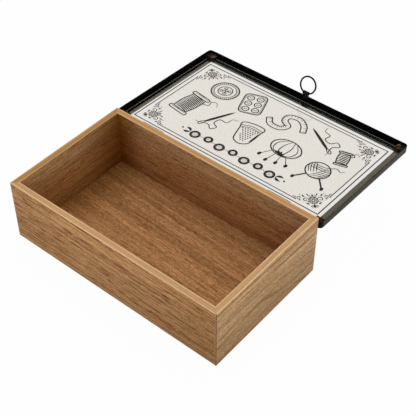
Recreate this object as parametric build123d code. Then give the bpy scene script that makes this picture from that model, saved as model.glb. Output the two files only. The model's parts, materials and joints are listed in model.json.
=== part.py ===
from build123d import *
import math
import os

# A wooden sewing box with a framed glass lid, shown open. Millimetres, +Z up.
# The origin is the middle of the box's underside. +X runs along the length, and +Y points
# from the front wall to the back wall that carries the hinges.
# The lid's pieces are drawn where they lie when it is shut, and then swung open.

# Wooden carcass
box_length = 240.0
box_width = 140.5
box_height = 66.7
wall_thickness = 6.4
eased_edge = 0.4
upright_corner_radius = 0.8

# Base panel, flush with the walls' feet in their rebates
base_thickness = 4.2
rebate_depth = 3.2
panel_clearance = 0.15

# Lid frame, folded from sheet to an L section with a lip over the pane and a flange outside the wood
sheet_thickness = 0.6
flange_gap = 2.25
flange_drop = 6.05
inner_bend_radius = 0.6
frame_corner_radius = 4.0

# Glass pane, and the corner blocks that hold it down and meet the rim when the lid is shut
glass_thickness = 1.5
glass_gap = 2.25
block_length = 10.2
block_width = 8.6
block_height = 3.4
block_chamfer = 0.6
shut_gap = 0.3

# Hinges
hinge_from_end = 45.0
hinge_drop = 3.85
lean_past_flat = 2.78
open_gap = 0.25
leaf_length = 25.0
leaf_thickness = 0.7
box_leaf_height = 12.0
knuckle_radius = 1.5
knuckle_gap = 0.3
middle_knuckle_length = 8.4
pin_radius = 0.75
running_clearance = 0.05
swing_clearance = 0.3
recess_clearance = 0.05

# Hinge screws
screw_spacing = 16.0
screw_drop = 7.2
screw_length = 5.2
screw_radius = 0.8
screw_head_radius = 1.7
screw_head_depth = 0.95
screw_point_length = 1.0
screw_clearance = 0.03

# Ring pull and its folded tab
ring_radius = 8.93
ring_wire_radius = 0.875
ring_wire_flats = 16
ring_lean = 15.0
ring_shift = 2.4
ring_axis_drop = 9.15
tab_width = 6.2
tab_bore_radius = 1.5
tab_strip = 0.6
tab_leg_length = 4.5

# Sizes that follow from those above
inner_length = box_length - 2 * wall_thickness
inner_width = box_width - 2 * wall_thickness

hinge_spacing = box_length - 2 * hinge_from_end
overhang = flange_gap + sheet_thickness
lid_length = box_length + 2 * overhang
lid_width = box_width + 2 * overhang
lip_width = overhang + wall_thickness
hollow_length = lid_length - 2 * sheet_thickness
hollow_width = lid_width - 2 * sheet_thickness
hollow_radius = frame_corner_radius - sheet_thickness
glass_inset = sheet_thickness + glass_gap
glass_length = lid_length - 2 * glass_inset
glass_width = lid_width - 2 * glass_inset

# Heights with the lid shut: the corner blocks stop just clear of the rim
pane_under = box_height + shut_gap + block_height
lip_under = pane_under + glass_thickness
frame_top = lip_under + sheet_thickness
flange_bottom = pane_under - flange_drop
outer_bend_radius = inner_bend_radius + sheet_thickness

# The hinge line is set so that the open lid's flange stops just short of the back wall
lean = math.radians(lean_past_flat)
hinge_z = box_height - hinge_drop
bend_start_height = lip_under - inner_bend_radius - hinge_z
hinge_y = (
    box_width / 2
    + open_gap
    + lid_width / 2 * math.cos(lean)
    + bend_start_height * math.sin(lean)
) / (1 + math.cos(lean))
hinge_line = Axis((0, hinge_y, hinge_z), (1, 0, 0))
open_angle = 180.0 + lean_past_flat

knuckle_bore_radius = pin_radius + running_clearance
outer_knuckle_length = (leaf_length - middle_knuckle_length) / 2 - knuckle_gap
knuckle_clear_radius = knuckle_radius + swing_clearance

tab_radius = tab_bore_radius + tab_strip
ring_axis_y = -(lid_width - sheet_thickness) / 2
ring_axis_z = pane_under - ring_axis_drop
half_tab = tab_width / 2
wire_rise_in_tab = ring_radius - math.sqrt(ring_radius**2 - half_tab**2)
ring_offset = ring_radius - wire_rise_in_tab / 2


def block(x_range, y_range, z_range):
    """Rectangular block between the given limits."""
    size = [high - low for low, high in (x_range, y_range, z_range)]
    middle = [(high + low) / 2 for low, high in (x_range, y_range, z_range)]
    return Pos(*middle) * Box(*size)


def mitre_wedge(length, face_distance, depth, low, high):
    """Prism over one side of a frame, cut at 45 degrees at both ends."""
    half = length / 2
    inner_half = half - depth
    inner_face = -face_distance + depth
    points = [
        (-half, -face_distance),
        (half, -face_distance),
        (inner_half, inner_face),
        (-inner_half, inner_face),
    ]
    return Pos(0, 0, low) * extrude(Polygon(*points, align=None), high - low)


def carcass_outline():
    """Whole outer form of the carcass, its four upright corners rounded."""
    return extrude(RectangleRounded(box_length, box_width, upright_corner_radius), box_height)


def wall_board(length, face_distance):
    """Board on the -Y side: rebated inside below, long edges eased, ends mitred."""
    inner_face = -face_distance + wall_thickness
    x_range = (-length / 2, length / 2)
    board = block(x_range, (-face_distance, inner_face), (0, box_height))
    long_edges = board.edges().filter_by(Axis.X)
    rim_edges = long_edges.group_by(Axis.Z)[-1]
    foot_edge = long_edges.group_by(Axis.Z)[0].sort_by(Axis.Y)[0]
    board = fillet([*rim_edges, foot_edge], eased_edge)
    rebate_range = (inner_face - rebate_depth, inner_face)
    board -= block(x_range, rebate_range, (0, base_thickness))
    return board & mitre_wedge(length, face_distance, wall_thickness, 0, box_height)


def screw_form(clearance):
    """Countersunk screw pointing to -Y, its flat head at y = 0 and grown by the clearance."""
    shank = screw_radius + clearance
    head = screw_head_radius + clearance
    straight = screw_length - screw_point_length + clearance
    half_profile = Polyline(
        (0, 0),
        (head, 0),
        (shank, -screw_head_depth),
        (shank, -straight),
        (0, -screw_length - clearance),
        close=True,
    )
    return revolve(make_face(half_profile), Axis.Y)


def screw_places():
    """Where the four hinge screws enter the back wall's outer face."""
    height = hinge_z - screw_drop
    return [
        Pos(side * hinge_spacing / 2 + along * screw_spacing / 2, box_width / 2, height)
        for side in (-1, 1)
        for along in (-1, 1)
    ]


def hinge_recess(middle_x):
    """Shallow pocket that lets one hinge leaf into the back wall."""
    half = leaf_length / 2 + recess_clearance
    depth = leaf_thickness + recess_clearance
    low = hinge_z - box_leaf_height - recess_clearance
    high = hinge_z + leaf_thickness / 2 + recess_clearance
    y_range = (box_width / 2 - depth, box_width / 2)
    return block((middle_x - half, middle_x + half), y_range, (low, high))


def back_board():
    """Back wall with its hinge pockets and pilot holes."""
    board = Rot(0, 0, 180) * wall_board(box_length, box_width / 2)
    for side in (-1, 1):
        board -= hinge_recess(side * hinge_spacing / 2)
    for place in screw_places():
        board -= place * screw_form(screw_clearance)
    return board


def base_board():
    """Panel that fills the rebates of the four walls."""
    rebated = 2 * (rebate_depth - panel_clearance)
    panel = Box(inner_length + rebated, inner_width + rebated, base_thickness)
    return Pos(0, 0, base_thickness / 2) * panel


def knuckle(low_x, high_x):
    """Tube round the hinge line between two places along it, with its bore left closed."""
    middle = (low_x + high_x) / 2
    return Pos(middle, hinge_y, hinge_z) * Rot(0, 90, 0) * Cylinder(knuckle_radius, high_x - low_x)


def knuckle_bore(middle_x):
    """Bore through all knuckles of one hinge."""
    bore = Cylinder(knuckle_bore_radius, leaf_length)
    return Pos(middle_x, hinge_y, hinge_z) * Rot(0, 90, 0) * bore


def box_leaf(middle_x):
    """Leaf let into the back wall, cranked out to two knuckles at its ends."""
    half = leaf_length / 2
    face = box_width / 2
    half_web = leaf_thickness / 2
    plate_x = (middle_x - half, middle_x + half)
    plate_z = (hinge_z - box_leaf_height, hinge_z + half_web)
    leaf = block(plate_x, (face - leaf_thickness, face), plate_z)
    for side in (-1, 1):
        near = middle_x + side * (half - outer_knuckle_length)
        far = middle_x + side * half
        span = (min(near, far), max(near, far))
        leaf += block(span, (face - half_web, hinge_y), (hinge_z - half_web, hinge_z + half_web))
        leaf += knuckle(*span)
    leaf -= knuckle_bore(middle_x)
    for place in screw_places():
        leaf -= place * screw_form(screw_clearance)
    return leaf


def lid_leaf(middle_x):
    """Leaf on the inside of the back rail's flange, with the middle knuckle."""
    half = leaf_length / 2
    half_tongue = middle_knuckle_length / 2
    flange_inside = lid_width / 2 - sheet_thickness
    plate_y = (flange_inside - leaf_thickness, flange_inside)
    top = lip_under - inner_bend_radius
    shoulder = hinge_z + knuckle_clear_radius
    leaf = block((middle_x - half, middle_x + half), plate_y, (shoulder, top))
    leaf += block((middle_x - half_tongue, middle_x + half_tongue), plate_y, (hinge_z, shoulder))
    leaf += knuckle(middle_x - half_tongue, middle_x + half_tongue)
    return leaf - knuckle_bore(middle_x)


def hinge_pin(middle_x):
    """Pin through the three knuckles of one hinge."""
    return Pos(middle_x, hinge_y, hinge_z) * Rot(0, 90, 0) * Cylinder(pin_radius, leaf_length)


def frame_hollow(height):
    """Prism that fills the inside of the lid's flange, from z = 0 up."""
    return extrude(RectangleRounded(hollow_length, hollow_width, hollow_radius), height)


def folded_frame():
    """Whole lid frame as one folded sheet, before it is parted at the mitres."""
    height = frame_top - flange_bottom
    skin = extrude(RectangleRounded(lid_length, lid_width, frame_corner_radius), height)
    skin = fillet(skin.faces().sort_by(Axis.Z)[-1].edges(), outer_bend_radius)
    hollow = frame_hollow(height - sheet_thickness)
    hollow = fillet(hollow.faces().sort_by(Axis.Z)[-1].edges(), inner_bend_radius)
    window = extrude(Rectangle(inner_length, inner_width), height)
    return Pos(0, 0, flange_bottom) * (skin - hollow - window)


def rail_wedge(length, face_distance):
    """Prism over one side of the lid frame, out to its mitres."""
    return mitre_wedge(length, face_distance, lip_width, flange_bottom, frame_top)


def back_rail_with_notches(rail):
    """Cuts the flange back where it would come too near the hinge knuckles."""
    half = leaf_length / 2 + swing_clearance
    y_range = (lid_width / 2 - sheet_thickness, lid_width / 2)
    z_range = (hinge_z - knuckle_clear_radius, hinge_z + knuckle_clear_radius)
    for side in (-1, 1):
        middle = side * hinge_spacing / 2
        rail -= block((middle - half, middle + half), y_range, z_range)
    return rail


def pane():
    """Clear glass lying on the lips."""
    return Pos(0, 0, pane_under + glass_thickness / 2) * Box(glass_length, glass_width, glass_thickness)


def corner_block(side_x, side_y):
    """Block under one corner of the pane, chamfered below and fitted to the flange's inside."""
    half_length = hollow_length / 2
    half_width = hollow_width / 2
    x_range = (half_length - block_length, half_length + block_chamfer)
    y_range = (half_width - block_width, half_width + block_chamfer)
    foot = pane_under - block_height
    piece = block(x_range, y_range, (foot, pane_under))
    piece = chamfer(piece.edges().group_by(Axis.Z)[0], block_chamfer)
    piece &= Pos(0, 0, foot) * frame_hollow(block_height)
    if side_x < 0:
        piece = mirror(piece, Plane.YZ)
    if side_y < 0:
        piece = mirror(piece, Plane.XZ)
    return piece


def folded_tab():
    """Strip folded round the ring's wire, its two legs straddling the front flange."""
    half_width = sheet_thickness / 2 + tab_strip
    leg_top = flange_bottom + tab_leg_length
    x_range = (ring_shift - half_tab, ring_shift + half_tab)
    rolled = Pos(ring_shift, ring_axis_y, ring_axis_z) * Rot(0, 90, 0) * Cylinder(tab_radius, tab_width)
    legs_y = (ring_axis_y - half_width, ring_axis_y + half_width)
    tab = rolled + block(x_range, legs_y, (ring_axis_z, leg_top))
    flange_y = (ring_axis_y - sheet_thickness / 2, ring_axis_y + sheet_thickness / 2)
    tab -= block(x_range, flange_y, (flange_bottom, leg_top))
    bore = Pos(ring_shift, ring_axis_y, ring_axis_z) * Rot(0, 90, 0) * Cylinder(tab_bore_radius, tab_width)
    return tab - bore


def wire_ring():
    """Ring whose wire passes through the tab, leaning outwards from the frame."""
    tilt = math.radians(ring_lean)
    outward = math.sin(tilt)
    away = math.cos(tilt)
    centre = (
        ring_shift,
        ring_axis_y - ring_offset * outward,
        ring_axis_z - ring_offset * away,
    )
    ring_plane = Plane(origin=centre, x_dir=(1, 0, 0), z_dir=(0, away, -outward))
    section = Plane.XZ * Pos(ring_radius, 0) * RegularPolygon(ring_wire_radius, ring_wire_flats)
    return ring_plane * revolve(section, Axis.Z)


def swung_open(shape):
    """Turns a piece of the shut lid about the hinge line to where it rests open."""
    return shape.rotate(hinge_line, -open_angle)


def box_pieces():
    """Pieces of the box body by name."""
    outline = carcass_outline()
    side_board = wall_board(box_width, box_length / 2)
    pieces = {
        "front_wall": wall_board(box_length, box_width / 2) & outline,
        "back_wall": back_board() & outline,
        "left_wall": Rot(0, 0, -90) * side_board & outline,
        "right_wall": Rot(0, 0, 90) * side_board & outline,
        "base_panel": base_board(),
        "hinge_screws": Compound(children=[place * screw_form(0) for place in screw_places()]),
    }
    for name, side in (("left", -1), ("right", 1)):
        pieces[f"hinge_box_leaf_{name}"] = box_leaf(side * hinge_spacing / 2)
        pieces[f"hinge_pin_{name}"] = hinge_pin(side * hinge_spacing / 2)
    return pieces


def lid_pieces():
    """Pieces of the lid and its ring by name, drawn with the lid shut."""
    frame = folded_frame()
    front = rail_wedge(lid_length, lid_width / 2)
    side = rail_wedge(lid_width, lid_length / 2)
    corners = [(x, y) for x in (-1, 1) for y in (-1, 1)]
    pieces = {
        "front_rail": frame & front,
        "back_rail": back_rail_with_notches(frame & (Rot(0, 0, 180) * front)),
        "left_rail": frame & (Rot(0, 0, -90) * side),
        "right_rail": frame & (Rot(0, 0, 90) * side),
        "glass_pane": pane(),
        "corner_blocks": Compound(children=[corner_block(x, y) for x, y in corners]),
        "ring_tab": folded_tab(),
        "pull_ring": wire_ring(),
    }
    for name, side in (("left", -1), ("right", 1)):
        pieces[f"hinge_lid_leaf_{name}"] = lid_leaf(side * hinge_spacing / 2)
    return pieces


os.makedirs("parts", exist_ok=True)
for name, piece in box_pieces().items():
    export_step(piece, f"parts/{name}.step")
for name, piece in lid_pieces().items():
    export_step(swung_open(piece), f"parts/{name}.step")

ring_axis = swung_open(Pos(ring_shift, ring_axis_y, ring_axis_z) * Sphere(ring_wire_radius)).center()
print("hinge line", 0.0, round(hinge_y, 4), round(hinge_z, 4), "opens", round(open_angle, 3))
print("ring axis", round(ring_axis.X, 4), round(ring_axis.Y, 4), round(ring_axis.Z, 4))
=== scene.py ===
"""Looks for a wooden sewing box with a framed glass lid, laid out as an add-on and run as a script."""
import json
import math

import bpy
import numpy as np
from bpy.props import FloatProperty, FloatVectorProperty, PointerProperty
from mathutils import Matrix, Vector


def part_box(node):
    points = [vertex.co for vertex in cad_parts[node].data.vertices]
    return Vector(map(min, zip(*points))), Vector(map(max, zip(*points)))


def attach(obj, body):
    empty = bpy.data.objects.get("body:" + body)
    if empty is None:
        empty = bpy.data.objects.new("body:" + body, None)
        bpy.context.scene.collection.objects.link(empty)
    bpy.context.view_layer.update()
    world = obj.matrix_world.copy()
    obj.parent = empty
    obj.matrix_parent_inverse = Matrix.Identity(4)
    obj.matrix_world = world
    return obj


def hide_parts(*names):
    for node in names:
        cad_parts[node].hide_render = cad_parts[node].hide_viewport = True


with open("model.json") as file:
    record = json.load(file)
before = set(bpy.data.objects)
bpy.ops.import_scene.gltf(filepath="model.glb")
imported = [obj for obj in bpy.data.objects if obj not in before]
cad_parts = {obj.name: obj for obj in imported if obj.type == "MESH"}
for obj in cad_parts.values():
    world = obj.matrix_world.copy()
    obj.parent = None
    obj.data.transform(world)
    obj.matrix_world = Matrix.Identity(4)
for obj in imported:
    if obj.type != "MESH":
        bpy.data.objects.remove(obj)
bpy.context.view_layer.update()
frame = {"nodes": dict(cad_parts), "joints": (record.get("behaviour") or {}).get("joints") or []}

bl_info = {
    "name": "Sewing Box Looks",
    "version": (1, 0, 0),
    "blender": (4, 5, 0),
    "location": "View3D > Sidebar > Sewing Box",
    "description": "Dresses a packed sewing box: oiled wood, enamelled lid frame, printed glass and a studio",
    "category": "Object",
}

MM = 0.001
CORNERS = ((1, 1), (-1, 1), (-1, -1), (1, -1))

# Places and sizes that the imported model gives
HINGE = next(joint for joint in frame["joints"] if joint["name"] == "lid_hinge")
SHUT_TURN = HINGE["range_deg"][1]
BOX_LOW, BOX_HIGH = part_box("front_wall")[0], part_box("back_wall")[1]
BOX_LENGTH = BOX_HIGH.x - BOX_LOW.x
BOX_WIDTH = BOX_HIGH.y - BOX_LOW.y
RIM_HEIGHT = BOX_HIGH.z
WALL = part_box("front_wall")[1].y - BOX_LOW.y


def linear(*channels):
    """Channels from 0 to 255, as a screen shows them, turned to the linear values that shaders take."""
    shown = np.array(channels) / 255
    return tuple(np.where(shown <= 0.04045, shown / 12.92, ((shown + 0.055) / 1.055) ** 2.4).tolist())


def colour(name, description, *channels):
    """A colour property with its default given as a screen shows it."""
    return FloatVectorProperty(
        name=name, description=description, subtype="COLOR", size=3, min=0, max=1, default=linear(*channels))


def length(name, description, millimetres):
    """A length property with its default given in millimetres."""
    return FloatProperty(
        name=name, description=description, subtype="DISTANCE", unit="LENGTH", min=0,
        default=millimetres * MM)


def share(name, description, default):
    """A property that goes from 0 to 1."""
    return FloatProperty(name=name, description=description, subtype="FACTOR", min=0, max=1, default=default)


def bearing(name, description, degrees):
    """An angle property with its default given in degrees."""
    return FloatProperty(name=name, description=description, subtype="ANGLE", default=math.radians(degrees))


def wattage(name, description, watts):
    """A lamp's power as a property."""
    return FloatProperty(name=name, description=description, subtype="POWER", min=0, default=watts)


# Values that a user would change

class WoodLook(bpy.types.PropertyGroup):
    """The boards and the base panel"""

    front_colour: colour("Front and back", "Outer faces of the two long boards", 199, 150, 100)
    end_colour: colour("Ends", "Outer faces of the two short boards", 201, 159, 113)
    inner_colour: colour("Inside", "Inner faces of the four boards", 178, 129, 84)
    floor_colour: colour("Floor", "The base panel", 169, 123, 80)
    rim_colour: colour("Rim", "Planed top edges of the boards", 198, 156, 111)
    # Painted shade: this tint darkens the inner faces at their feet and towards the back left corner
    corner_shade_colour: colour("Dark wax", "Tint of the inner faces' corners and feet", 190, 160, 95)
    pore_colour: colour("Pores", "Dark streaks along the grain", 108, 54, 18)
    pore_length: length("Pore length", "How long a dark streak is", 10.0)
    pore_width: length("Pore width", "How wide a dark streak is", 0.7)
    band_width: length("Band width", "How wide the light and dark bands of the grain are", 7.0)
    arris: length("Worn arris", "Width of the lighter wear along the box's upright corners", 1.5)
    crack_drop: length("Crack", "How far under the rim the right board's long crack runs", 3.4)
    roughness: share("Roughness", "How dull the oiled surface is", 0.52)


class LidLook(bpy.types.PropertyGroup):
    """The lid's frame, glass, hinges and ring"""

    enamel_colour: colour("Enamel", "Black enamel of the frame", 4, 4, 3)
    # Painted reflection: the two lip colours stand in for the pale surroundings reflected in the glass over
    # the lips
    lip_reflection_colour: colour("Bare lip", "Worn metal on the end rails' lips, under the pane", 108, 98, 70)
    faint_reflection_colour: colour("Faint lip", "The same on the front rail, which is less worn", 40, 40, 34)
    # Painted reflection: this colour on the right flange's outer face stands in for the pale surroundings
    # reflected there
    flange_sheen_colour: colour("Rubbed flange", "The right flange's outer face, rubbed by hands", 44, 40, 28)
    enamel_roughness: share("Enamel roughness", "How dull the enamel is", 0.2)
    block_colour: colour("Blocks", "Corner blocks that hold the pane", 16, 13, 10)
    block_wear: colour("Block wear", "Where the blocks' upper edges are rubbed", 124, 92, 52)
    glass_colour: colour("Glass", "Tint of the pane", 231, 228, 223)
    # The ground edge is a frosted strip that is also painted pale as a highlight along the pane's edge
    ground_edge_highlight: length("Ground edge", "Width of the pane's ground edge", 0.45)
    fitting_colour: colour("Fittings", "Blackened hinges, tab and ring", 24, 21, 18)
    steel_colour: colour("Steel", "Hinge pins and screws", 150, 148, 142)


class PrintLook(bpy.types.PropertyGroup):
    """The printed design on the glass"""

    ink_colour: colour("Ink", "Colour of the lines", 22, 20, 18)
    ground_colour: colour("Ground", "Colour of the thin ground inside the inner line", 60, 56, 40)
    ground_cover: share("Ground cover", "How much of the light each side of the ground stops", 0.015)
    half_length: length("Half length", "From the middle to the outer line, along the box", 110.06)
    half_width: length("Half width", "From the middle to the outer line, across the box", 59.1)
    shift: length("Shift", "How much nearer the hinge the print is than the pane's middle", 1.0)
    line_gap: length("Line gap", "From the outer line to the inner one, on the long sides", 4.1)
    end_gap: length("End gap", "From the outer line to the inner one, on the short sides", 4.6)
    outer_line: length("Outer line", "Width of the outer line", 1.1)
    inner_line: length("Inner line", "Width of the inner line", 0.95)
    weight: share("Boldness", "How much wider the motifs' strokes are than drawn", 0.5)
    thickness: length("Ink thickness", "How far the ink stands proud of the pane", 0.03)


class StageLook(bpy.types.PropertyGroup):
    """The floor, the light and the camera"""

    floor_colour: colour("Floor", "The pale floor", 214, 214, 214)
    floor_white: share("Floor white", "How much of the floor's look is plain white rather than lit", 0.975)
    ambient: FloatProperty(name="Ambient", description="Light from all round", min=0, default=0.55)
    key_power: wattage("Key", "Soft light above and behind", 11.0)
    fill_power: wattage("Fill", "Soft light in front", 3.0)
    lens: FloatProperty(
        name="Lens", description="Focal length", subtype="DISTANCE_CAMERA", min=1, default=85.108)
    azimuth: bearing("Azimuth", "Camera's turn to the right of the front", 39.5563)
    elevation: bearing("Elevation", "Camera's height over the level", 44.3655)
    distance: length("Distance", "From the camera to what it looks at", 827.016)
    roll: bearing("Roll", "Camera's tilt", 0.034)
    target: FloatVectorProperty(
        name="Target", description="What the camera looks at", subtype="XYZ", unit="LENGTH",
        size=3, default=(0.0531644, 0.0, 0.0900486))


# Shapes

def swing(points, degrees):
    """Points turned about the lid's hinge line, which runs along x: y and z less the hinge's place are
    multiplied by the cosine and sine of the angle, and the hinge's place is added again."""
    turn = math.radians(degrees)
    _, hinge_y, hinge_z = HINGE["pos_m"]
    y, z = points[:, 1] - hinge_y, points[:, 2] - hinge_z
    return np.stack([
        points[:, 0],
        hinge_y + y * math.cos(turn) - z * math.sin(turn),
        hinge_z + y * math.sin(turn) + z * math.cos(turn)], 1)


def mesh_points(node):
    """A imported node's vertices as an array with one row each."""
    found = np.zeros(len(node.data.vertices) * 3, np.float32)
    node.data.vertices.foreach_get("co", found)
    return found.reshape(-1, 3).astype(float)


def make_piece(name, points, faces, material, body, smooth=False):
    """A new object at the origin from arrays of points in metres and of faces, riding on a body."""
    mesh = bpy.data.meshes.new(name)
    mesh.from_pydata(points.tolist(), [], faces.tolist())
    mesh.polygons.foreach_set("use_smooth", np.full(len(mesh.polygons), smooth))
    mesh.materials.append(material)
    mesh.validate()
    piece = bpy.data.objects.new(name, mesh)
    bpy.context.scene.collection.objects.link(piece)
    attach(piece, body)
    return piece


def arc(radius, start=0.0, end=360.0, centre=(0.0, 0.0), flat=1.0, count=33):
    """Points of an arc: centre plus radius times the cosine, and flat times the sine, of even angles."""
    turn = np.radians(np.linspace(start, end, count))
    return np.array(centre) + radius * np.stack([np.cos(turn), flat * np.sin(turn)], 1)


def loop(radius, centre=(0.0, 0.0), flat=1.0, count=36):
    """A closed circle or ellipse: an arc of the whole round without its last point."""
    return arc(radius, 0, 360, centre, flat, count + 1)[:-1]


def spiral(inner, outer, start, end, count=26):
    """Points of a spiral: the radius grows evenly from inner to outer while the angle goes from start to
    end."""
    turn = np.radians(np.linspace(start, end, count))
    radius = np.linspace(inner, outer, count)
    return np.stack([radius * np.cos(turn), radius * np.sin(turn)], 1)


def box_loop(half_width, half_height, centre=(0.0, 0.0), squareness=0.36, count=40):
    """A rounded rectangle: a superellipse, whose cosine and sine keep their sign and are raised to a power
    under 1, which squares it."""
    turn = np.linspace(0, 2 * math.pi, count, endpoint=False)
    ways = np.stack([np.cos(turn), np.sin(turn)], 1)
    return np.array(centre) + np.sign(ways) * np.abs(ways) ** squareness * (half_width, half_height)


def curve(*knots, steps=8, closed=False):
    """A smooth path through its knots: each span is the Catmull-Rom cubic of the four knots around it."""
    knots = np.array(knots, float)
    ends = (knots[-1:], knots[:2]) if closed else (knots[:1], knots[-1:])
    row = np.vstack([ends[0], knots, ends[1]])
    a, b, c, d = (row[i:len(row) - 3 + i, None] for i in range(4))
    t = np.linspace(0, 1, steps, endpoint=False)[None, :, None]
    bend, twist = 2 * a - 5 * b + 4 * c - d, 3 * b - a - 3 * c + d
    path = (0.5 * (2 * b + (c - a) * t + bend * t ** 2 + twist * t ** 3)).reshape(-1, 2)
    return path if closed else np.vstack([path, knots[-1:]])


def beside(path, offset):
    """A path moved sideways: each point goes by the offset along the direction turned a quarter left."""
    ahead = np.gradient(path, axis=0)
    ahead /= np.linalg.norm(ahead, axis=1, keepdims=True)
    return path + offset * np.stack([-ahead[:, 1], ahead[:, 0]], 1)


class Drawing:
    """Strokes on the pane's inner face, as points (u, v, n) in millimetres: u along the box, v towards the
    hinge and n out of the glass, into the lid."""

    def __init__(self, low, high):
        self.low, self.high = low, high
        self.points, self.faces, self.count = [], [], 0
        self.weight = 1.0
        self.put()

    def put(self, centre=(0.0, 0.0), turn=0.0, size=1.0, mirror=(1, 1)):
        """Sets where the next strokes go: turned by degrees, scaled, mirrored and moved to a centre."""
        cosine, sine = math.cos(math.radians(turn)), math.sin(math.radians(turn))
        self.matrix = size * np.array([[cosine, sine], [-sine, cosine]]) * mirror
        self.centre = np.array(centre, float)

    def stroke(self, path, width=0.7, closed=False):
        """A thin bar along a path: its sides stand half the width to the left and right of each point,
        square to the path, and its section is a rectangle from the low level to the high one."""
        path = np.asarray(path, float) @ self.matrix + self.centre
        ahead = np.roll(path, -1, 0) - np.roll(path, 1, 0) if closed else np.gradient(path, axis=0)
        ahead /= np.linalg.norm(ahead, axis=1, keepdims=True)
        widths = np.interp(np.linspace(0, 1, len(path)), np.linspace(0, 1, np.size(width)), np.ravel(width))
        half = 0.5 * self.weight * widths[:, None] * np.stack([-ahead[:, 1], ahead[:, 0]], 1)
        rim = np.stack([path - half, path + half, path + half, path - half], 1)
        level = np.tile([self.low, self.low, self.high, self.high], (len(path), 1))[:, :, None]
        here = np.arange(len(path))[:, None] * 4 + np.arange(4) + self.count
        there = np.roll(here, -1, 0)
        sides = np.stack([there, np.roll(there, -1, 1), np.roll(here, -1, 1), here], 2)
        if not closed:
            sides = np.concatenate([sides[:-1].reshape(-1, 4), here[:1], here[-1:, ::-1]])
        self.points.append(np.concatenate([rim, level], 2).reshape(-1, 3))
        self.faces.append(sides.reshape(-1, 4))
        self.count += 4 * len(path)

    def rule(self, half, level, width, upright=False):
        """A straight line, that far to each side of the middle, at a level across it."""
        path = np.array([(-half, level), (0, level), (half, level)])
        self.stroke(path[:, ::-1] if upright else path, width)

    def spot(self, centre, radius, flat=1.0, count=9, blunt=0.12):
        """A filled spot: a stroke straight across it whose width is the spot's chord there. It starts and
        ends a few degrees short of the spot's tips, which are blunt."""
        turn = np.linspace(blunt, math.pi - blunt, count)
        path = np.array(centre) + radius * np.stack([-np.cos(turn), np.zeros(count)], 1)
        size = math.sqrt(abs(np.linalg.det(self.matrix)))
        self.stroke(path, 2 * size * flat * radius * np.sin(turn))

    def leaf(self, start, end, bend, width, blunt=0.03):
        """A filled leaf: a stroke along a parabola from start to end, whose width is the sine of the way
        along it, less a blunt share at each tip."""
        start, end = np.array(start, float), np.array(end, float)
        t = np.linspace(0, 1, 11)[:, None]
        across = np.array([-(end - start)[1], (end - start)[0]]) * bend
        path = start + (end - start) * t + across * 4 * t * (1 - t)
        self.stroke(path, width * np.sin(math.pi * (blunt + (1 - 2 * blunt) * t)))

    def placed(self, shift=0.0):
        """The points in metres where the open lid has them: laid on the shut pane's underside, moved
        towards the hinge by the shift, then swung open."""
        u, v, n = np.concatenate(self.points).T * MM
        v = v + shift
        pane = swing(mesh_points(frame["nodes"]["glass_pane"]), SHUT_TURN)
        middle = 0.5 * (pane[:, 1].min() + pane[:, 1].max())
        shut = np.stack([u, middle + v, pane[:, 2].min() - n], 1)
        return swing(shut, -SHUT_TURN)

    def piece(self, name, material, slot, shift=0.0):
        """Makes the strokes one piece on the lid."""
        make_piece(name, self.placed(shift), np.concatenate(self.faces), material, "lid")


# The print's motifs, each about 34 mm high about its own middle

def draw_spool(d, turns=13):
    """A thread spool: two rounded flanges, slanting turns of thread that bulge, and a loose end."""
    for height in (14.6, -14.6):
        d.stroke(box_loop(10.5, 2.1, (0, height)), 0.8, True)
        d.stroke([(-9, height - 0.5), (0, height - 0.9), (9, height - 0.5)], (0.2, 0.6, 0.2))
    for y in np.linspace(-11, 11, turns):
        reach = 7.4 + 1.6 * math.sqrt(1 - (y / 12.4) ** 2)
        d.stroke(curve((-reach, y - 0.9), (0, y - 0.9), (reach, y + 0.9), steps=6), (0.35, 0.85, 0.95, 0.5))
    for side in (-1, 1):
        d.stroke(curve((7.9 * side, 12.4), (9.2 * side, 0), (7.9 * side, -12.4)), 0.8)
    d.stroke(curve((9, -8), (14, -10.5), (12.5, -16), (17, -18.5), (21, -14)), (0.7, 0.6, 0.3))


def draw_small_spool(d):
    """The spool with fewer turns, for a smaller size."""
    draw_spool(d, 7)


def draw_needle(d):
    """A needle with a long eye, and a thread through the eye that loops twice."""
    d.stroke(loop(1.5, (0, 15.2), 2.3, 20), 0.65, True)
    d.stroke([(0, 12.2), (0, 6), (0, -6), (0, -14), (0, -19)], (1.3, 2.1, 2.0, 1.5, 0.25))
    d.stroke(curve((-5, 18.5), (-1.5, 16.8), (0.5, 14.2), (5.5, 11), (11.5, 12.5), (12, 6.5), (5.5, 5.5),
                   (4, -1.5), (10, -4.5), (8.5, -11.5), (13, -15.5)), (0.3, 0.7, 0.7, 0.7, 0.3))


def draw_thimble(d):
    """A thimble: a domed outline, two rings round its open end, and staggered rows of dimples."""
    d.stroke(curve((-10, -12), (-9.2, -4), (-8.1, 5), (-6.3, 11.5), (0, 14.6), (6.3, 11.5), (8.1, 5),
                   (9.2, -4), (10, -12), (0, -14.2), closed=True), 0.85, True)
    for half, y in ((9.6, -8.2), (9.4, -5.8)):
        d.stroke(curve((-half, y), (0, y - 2.2), (half, y)), 0.6)
    for row, y in enumerate(np.arange(-4.5, 12, 2.2)):
        reach = 8.4 - 0.24 * (y + 4.5) - 0.012 * max(0.0, y + 2) ** 2
        for x in np.arange(-3, 4) * 2.3 + 1.15 * (row % 2):
            if abs(x) < reach - 1:
                d.spot((x, y - 1.4 + 0.016 * x * x), 0.55, count=7)
    d.stroke(curve((6.3, 9.2), (7.6, 3), (8.4, -4)), (0.3, 1.1, 0.3))


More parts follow.
